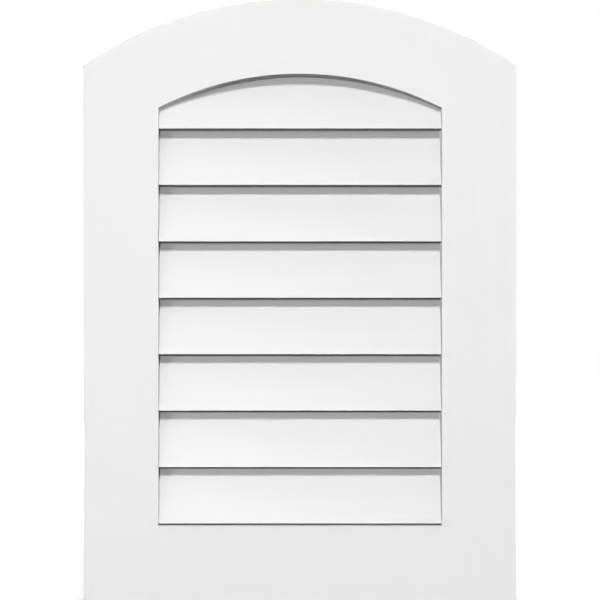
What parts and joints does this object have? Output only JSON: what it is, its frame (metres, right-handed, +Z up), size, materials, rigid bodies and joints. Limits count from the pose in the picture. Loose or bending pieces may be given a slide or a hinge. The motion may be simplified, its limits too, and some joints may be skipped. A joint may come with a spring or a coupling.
{
  "type": "gable vent",
  "caption": "White arch-top louvred gable vent with a wide flat trim frame, fixed tilted slats in a shallow box behind it, and an insect screen on its back.",
  "frame": {"origin": "middle of the trim frame's bottom edge, on the wall plane, which is the flat back of the frame", "axes": "+Z up along the centre line, +Y from the front through the vent into the wall, +X to the right seen from the front"},
  "size_m": [0.5178, 0.0484, 0.7197],
  "materials": {
    "white_pvc": "smooth satin white",
    "screen_mesh": "charcoal coated glass-fibre mesh",
    "fastener_steel": "staple wire"
  },
  "bodies": {
    "root": {"face_frame": "white_pvc", "left_jamb": "white_pvc", "right_jamb": "white_pvc", "arched_head": "white_pvc", "sill": "white_pvc", "louvre_slat_1": "white_pvc", "louvre_slat_2": "white_pvc", "louvre_slat_3": "white_pvc", "louvre_slat_4": "white_pvc", "louvre_slat_5": "white_pvc", "louvre_slat_6": "white_pvc", "louvre_slat_7": "white_pvc", "louvre_slat_8": "white_pvc", "insect_screen": "screen_mesh"}
  },
  "joints": []
}
